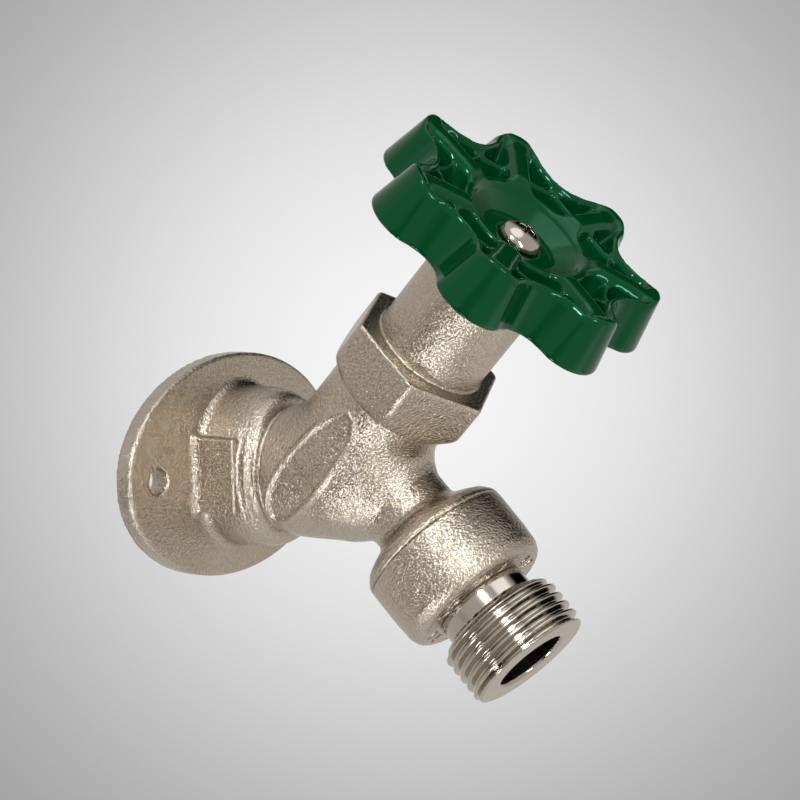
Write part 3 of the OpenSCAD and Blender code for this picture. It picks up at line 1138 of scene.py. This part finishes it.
@dataclass
class ScrewHead(FieldPiece):
    """Domed screw with a cross recess."""

    name: str = "wheel_screw"
    node: str = "handle_screw"
    body: str = "turning"
    slot: Slot = Slot.POLISHED
    grid: FieldGrid = FieldGrid((-5, -5, 51.2), (5, 5, 62.6), 0.13)
    seat: float = 59.5
    head: float = 4.85
    head_high: float = 3.2
    ball: float = 6.2
    cross_turn: float = 20.0
    cross_half: Pair = (1.8, 0.42)
    cross_corner: float = 0.2
    cross_floor: float = 1.2
    shank: Rod = Rod(2.0, 51.6, 60.0)

    def shape(self, points: Array) -> Array:
        """Domed head, recess and shank.

        Args:
            points: Local points.

        Returns:
            Distances of the screw.
        """
        x, v, w = points.T
        r = np.hypot(x, v)
        ball = np.sqrt(r ** 2 + (w - (self.seat + self.head_high - self.ball)) ** 2) - self.ball
        head = meet(meet(r - self.head, ball, 1.0), self.seat - w, 0.4)
        x, v = turned(x, v, self.cross_turn)
        bar = box_side(x, v, self.cross_half, self.cross_corner)
        cross = np.minimum(bar, box_side(v, x, self.cross_half, self.cross_corner))
        head = cut(head, np.maximum(cross, self.seat + self.cross_floor - w), 0.15)
        return join(head, self.shank.bar(r, w), 0.1)


@dataclass
class BreakerCap(FieldPiece):
    """Round cap of the vacuum breaker with pairs of vent slots in its end."""

    name: str = "breaker_casting"
    node: str = "breaker_cap"
    axis: Axis = Axis.OUTLET
    grid: FieldGrid = FieldGrid((-17.6, -17.6, 27.4), (17.6, 17.6, 43), 0.35)
    line: Line = ((27.9, 16.6), (36, 16.55), (40, 16.3), (41.6, 15.6), (42.5, 14.6))
    line_edge: float = 0.5
    bores: tuple[Rod, ...] = (Rod(13.65, 27, 34.3), Rod(13.0, 27, 39.8), Rod(9.55, 38, 44))
    slot_pairs: int = 6
    slot_turn: float = 9.0
    slot_at: float = 12.0
    slot_half: Pair = (1.5, 0.75)
    slot_corner: float = 0.5
    slot_low: float = 38.0

    def shape(self, points: Array) -> Array:
        """Outer shell, chamber and vents.

        Args:
            points: Local points.

        Returns:
            Distances of the cap.
        """
        x, v, w = points.T
        r, a = fold(x, v, self.slot_pairs)
        a = a - math.radians(self.slot_turn)
        slot = box_side(r * np.cos(a) - self.slot_at, r * np.sin(a), self.slot_half, self.slot_corner)
        return cut(super().shape(points), np.maximum(slot, self.slot_low - w), 0.2)


@dataclass
class NozzleCore(FieldPiece):
    """Polished neck, thread root, end face and bore of the hose nozzle."""

    name: str = "nozzle_core"
    node: str = "hose_nozzle"
    slot: Slot = Slot.POLISHED
    axis: Axis = Axis.OUTLET
    grid: FieldGrid = FieldGrid((-14, -14, 39), (14, 14, 59.8), 0.32)
    line: Line = (
        (39.5, 9.5), (42.4, 9.5), (42.6, 10.1), (46.6, 10.1), (47.4, 11.6), (47.8, 12.1), (58.5, 12.1),
        (58.6, 13.1), (59.2, 12.8),
    )
    line_edge: float = 0.25
    bores: tuple[Rod, ...] = (Rod(8.2, 39, 42.5), Rod(7.6, 39, 60, 0.7))


@dataclass
class ThreadSleeve(Piece):
    """A screw thread made by a rule in Geometry Nodes: a sleeve whose radius follows the helix."""

    crest: float = 1.0
    root: float = 0.9
    pitch: float = 0.2
    start: float = 0.0
    end: float = 1.0
    segments: int = 192
    rows_a_turn: int = 22
    flank: Pair = (0.16, 0.66)
    fade_in: float = 0.55
    fade_out: float = 0.35
    sew: float = 1e-7

    def rule(self) -> FormulaTree:
        """Builds the node tree.

        Returns:
            The tree, with its Z axis as the thread's axis.
        """
        sizes = {key.title(): getattr(self, key) for key in ("crest", "root", "pitch", "start", "end")}
        t = FormulaTree(f"{self.name}_rule", sizes)
        crest, root, pitch, start, end = (t.given(key) for key in sizes)
        rows = int((self.end - self.start) / self.pitch * self.rows_a_turn) + 1
        grid = t.node("GeometryNodeMeshGrid", None, {
            "Size X": 1.0, "Size Y": 1.0, "Vertices X": self.segments + 1, "Vertices Y": rows})
        split = t.node("ShaderNodeSeparateXYZ", None, {0: t.node("GeometryNodeInputPosition").outputs[0]})
        turn = Value(t, split.outputs[0]) + 0.5
        along = start + (Value(t, split.outputs[1]) + 0.5) * (end - start)
        phase = (along / pitch - turn).math("FRACT")
        wedge = 1.0 - (phase * 2.0 - 1.0).math("ABSOLUTE")
        form = ((wedge - self.flank[0]) / self.flank[1]).clamped()
        rise = ((along - start) / (pitch * self.fade_in)).clamped()
        fall = ((end - along) / (pitch * self.fade_out)).clamped()
        radius = root + (crest - root) * form * rise * fall
        angle = turn * (2 * math.pi)
        place = t.node("ShaderNodeCombineXYZ", None, {
            0: radius * angle.math("COSINE") * MM, 1: radius * angle.math("SINE") * MM, 2: along * MM})
        shape = grid.outputs[0]
        for kind, inputs in (
            ("GeometryNodeSetPosition", {"Position": place.outputs[0]}),
            ("GeometryNodeMergeByDistance", {"Distance": self.sew}),
            ("GeometryNodeSetShadeSmooth", {}),
            ("GeometryNodeRealizeInstances", {}),
            ("GeometryNodeSetMaterial", {"Material": self.palette.made[self.slot]}),
        ):
            shape = t.node(kind, None, {"Geometry": shape, **inputs}).outputs[0]
        t.connect(shape, t.end.inputs[0])
        return t

    def mesh(self) -> Object:
        """Runs the rule and keeps the result as a plain mesh in the row frame.

        Returns:
            The plain mesh object.
        """
        carrier = link(f"{self.name}_carrier", bpy.data.meshes.new(f"{self.name}_carrier"))
        modifier = carrier.modifiers.new("rule", "NODES")
        rule = self.rule()
        modifier.node_group = rule.tree
        for socket, value in rule.values.items():
            modifier[socket] = value
        graph = bpy.context.evaluated_depsgraph_get()
        mesh = bpy.data.meshes.new_from_object(carrier.evaluated_get(graph))
        carrier.modifiers.remove(modifier)
        bpy.data.objects.remove(carrier)
        mesh.name = self.name
        frame = self.axis.value
        turn = Matrix(frame.basis).transposed().to_4x4()
        mesh.transform(Matrix.Translation(Vector(frame.origin) * MM) @ turn)
        return link(self.name, mesh)


@dataclass
class HoseThread(ThreadSleeve):
    """Turns of the male hose thread around the nozzle."""

    name: str = "hose_thread_turns"
    slot: Slot = Slot.POLISHED
    axis: Axis = Axis.OUTLET
    crest: float = 13.49
    root: float = 12.2
    pitch: float = 2.209
    start: float = 47.5
    end: float = 58.7


@dataclass
class PipeThread(ThreadSleeve):
    """Turns of the female pipe thread inside the inlet."""

    name: str = "pipe_thread_turns"
    slot: Slot = Slot.BRASS
    axis: Axis = Axis.INLET
    crest: float = 9.2
    root: float = 10.25
    pitch: float = 1.814
    start: float = 1.3
    end: float = 16.9


# Stage

def direction(azimuth: float, elevation: float) -> Vector:
    """Unit vector toward a place around the part, given in degrees from in front of the wall."""
    a, e = (math.radians(angle) for angle in (azimuth, elevation))
    return Vector((math.sin(a) * math.cos(e), -math.cos(a) * math.cos(e), math.sin(e)))


@dataclass(frozen=True)
class ShotCamera:
    """Camera of the photo, fitted to the outlet thread, flange and handle."""

    azimuth: float = -56.268
    elevation: float = 7.179
    roll: float = -1.318
    shift_right: float = -0.036762
    shift_up: float = -0.014899
    distance: float = 0.585
    focal_px: float = 2708.07
    centre_px: Pair = (392.88, 393.48)
    frame_px: float = 800.0
    clip: Pair = (0.01, 20.0)

    def axes(self) -> tuple[Vector, Vector, Vector]:
        """Right, up and backward directions of the camera.

        Returns:
            Three unit vectors.
        """
        a = math.radians(self.azimuth)
        g = math.radians(self.roll)
        back = direction(self.azimuth, self.elevation)
        right = Vector((math.cos(a), math.sin(a), 0.0))
        up = back.cross(right)
        return right * math.cos(g) + up * math.sin(g), up * math.cos(g) - right * math.sin(g), back

    def build(self) -> None:
        """Makes the camera and looks through it."""
        level, upright, back = self.axes()
        data = bpy.data.cameras.new("shot")
        data.sensor_width = SENSOR_MM
        data.lens = self.focal_px / self.frame_px * SENSOR_MM
        data.shift_x = (self.frame_px / 2 - self.centre_px[0]) / self.frame_px
        data.shift_y = (self.centre_px[1] - self.frame_px / 2) / self.frame_px
        data.clip_start, data.clip_end = self.clip
        camera = link("shot", data)
        camera.matrix_world = Matrix((level, upright, back)).transposed().to_4x4()
        camera.location = back * self.distance - level * self.shift_right - upright * self.shift_up
        bpy.context.scene.camera = camera


@dataclass(frozen=True)
class Lamp:
    """One soft area lamp aimed at the part, in degrees, metres and watts."""

    name: str
    azimuth: float
    elevation: float
    distance: float
    width: float
    height: float
    power: float
    colour: Triple = (0.92, 0.97, 1.0)

    def build(self, target: Vector) -> None:
        """Makes the lamp.

        Args:
            target: Point that it faces.
        """
        way = direction(self.azimuth, self.elevation)
        data = bpy.data.lights.new(self.name, "AREA")
        data.shape = "RECTANGLE"
        data.size = self.width
        data.size_y = self.height
        data.energy = self.power
        data.color = self.colour
        lamp = link(self.name, data)
        lamp.location = target + way * self.distance
        lamp.rotation_mode = "QUATERNION"
        lamp.rotation_quaternion = (-way).to_track_quat("-Z", "Y")


@dataclass(frozen=True)
class Patch:
    """A round grey patch in the surroundings, seen only in reflections; angles in degrees."""

    way: Triple
    far: float
    near: float
    grey: float


@dataclass
class Studio:
    """Pale floor, pale surroundings and soft lamps, in metres."""

    camera: ShotCamera
    below: Triple = (0.61, 0.58, 0.54)
    above: Triple = (0.61, 0.60, 0.58)
    rise: Pair = (-0.8, 0.8)
    floor_z: float = -0.30
    floor_half: float = 0.6
    floor_pale: float = 0.72
    floor_rough: float = 0.9
    floor_middle: float = -0.03
    floor_fade: Pair = (0.14, 0.30)
    glow_px: Pair = (412.4, 372.1)
    glow_floor: float = 0.2524
    glow_height: float = 0.6664
    glow_width: float = 0.16854
    glow_edge: float = 0.35
    edge_span: Pair = (0.07, 0.5)
    least_cosine: float = 0.3
    target: Triple = (0.0, -0.04, 0.01)
    patches: tuple[Patch, ...] = (
        Patch((0.8245, -0.0867, 0.5592), 34, 21, 0.0),
        Patch((-0.826, 0.087, -0.556), 34, 26, 0.02),
        Patch((0.0, -0.38, 0.925), 24, 18, 1.6),
        Patch((0.14, -0.32, -0.937), 26, 20, 1.3),
    )
    lamps: list[Lamp] = field(default_factory=lambda: [
        Lamp("key", -69, 38, 0.9, 0.18, 0.18, 3.1),
        Lamp("low", -86, -40, 0.42, 0.09, 0.09, 0.55),
        Lamp("tall", -30, 8, 0.85, 0.08, 0.50, 2.0),
    ])

    def build(self) -> None:
        """Makes the world, the floor and the lamps."""
        scene = bpy.context.scene
        scene.view_settings.view_transform = "Standard"
        world = bpy.data.worlds.new("studio")
        scene.world = world
        world.use_nodes = True
        world.node_tree.nodes.clear()
        self.surround(NodeTree(world.node_tree))
        self.floor()
        for lamp in self.lamps:
            lamp.build(Vector(self.target))

    def surround(self, t: NodeTree) -> None:
        """Joins the light of the surroundings with the glow that the camera sees behind the part.

        Args:
            t: The world's tree.
        """
        place = t.node("ShaderNodeTexCoord").outputs["Generated"]
        light = t.node("ShaderNodeBackground", None, {"Color": self.around(t, place)})
        shade = self.glow(t, place)
        grey = t.node("ShaderNodeCombineColor", None, {0: shade, 1: shade, 2: shade})
        seen = t.node("ShaderNodeBackground", None, {"Color": grey.outputs[0]})
        by_camera = t.node("ShaderNodeLightPath").outputs["Is Camera Ray"]
        mix = t.node("ShaderNodeMixShader", None, {0: by_camera, 1: light.outputs[0], 2: seen.outputs[0]})
        t.node("ShaderNodeOutputWorld", None, {"Surface": mix.outputs[0]})

    def around(self, t: NodeTree, place: Socket) -> Socket:
        """Colour of the surroundings: a soft rise from below to above, with the patches.

        Args:
            t: The world's tree.
            place: Direction looked at.

        Returns:
            The colour socket.
        """
        height = Value(t, t.node("ShaderNodeSeparateXYZ", None, {0: place}).outputs[2])
        colour = t.colours(height.ramp(*self.rise), self.below, self.above)
        for patch in self.patches:
            edge = (math.cos(math.radians(patch.far)), math.cos(math.radians(patch.near)))
            colour = t.colours(t.facing(patch.way, place).ramp(*edge), colour, (patch.grey,) * 3)
        return colour

    def glow(self, t: NodeTree, place: Socket) -> Value:
        """Grey of the backdrop: brightest behind the part, and falling off around it.

        Args:
            t: The world's tree.
            place: Direction looked at.

        Returns:
            The grey value.
        """
        level, upright, back = self.camera.axes()
        dx = (self.glow_px[0] - self.camera.centre_px[0]) / self.camera.focal_px
        dy = (self.camera.centre_px[1] - self.glow_px[1]) / self.camera.focal_px
        middle = (level * dx + upright * dy - back).normalized()
        cosine = t.facing(tuple(middle), place).math("MAXIMUM", self.least_cosine)
        square = (cosine * cosine).math("POWER", -1.0) - 1.0
        glow = (square * (-1.0 / self.glow_width ** 2)).math("EXPONENT")
        return self.glow_floor + self.glow_height * glow + self.glow_edge * square.ramp(*self.edge_span)

    def floor(self) -> None:
        """Makes the plain pale floor, which fades out into the pale surroundings."""
        half = self.floor_half / MM
        corners = [(-half, -half), (half, -half), (half, half), (-half, half)]
        points = np.array([(x, y, self.floor_z / MM) for x, y in corners])
        made = mesh_object("floor", points, np.array([[0, 1, 2, 3]]))
        t = ShaderTree("floor")
        t.put(Base_Color=(self.floor_pale,) * 3, Roughness=self.floor_rough)
        split = t.node("ShaderNodeSeparateXYZ", None, {0: t.place})
        x = Value(t, split.outputs[0])
        y = Value(t, split.outputs[1]) - self.floor_middle
        far = (x * x + y * y).math("SQRT").ramp(*self.floor_fade)
        clear = t.node("ShaderNodeBsdfTransparent")
        fade = t.node("ShaderNodeMixShader", None, {0: far, 1: t.shader.outputs[0], 2: clear.outputs[0]})
        t.connect(fade.outputs[0], t.output.inputs["Surface"])
        made.data.materials.append(t.material)


PIECES = (BodyCasting, BonnetCasting, Handwheel, ScrewHead, BreakerCap, NozzleCore, HoseThread, PipeThread)


def main() -> None:
    """Builds the whole scene."""
    logging.basicConfig(level=logging.INFO, format="%(message)s")
    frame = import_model()
    palette = Palette()
    palette.paint_cad(frame)
    for piece in PIECES:
        piece(palette).place()
    camera = ShotCamera()
    camera.build()
    Studio(camera).build()


if __name__ == "__main__":
    main()
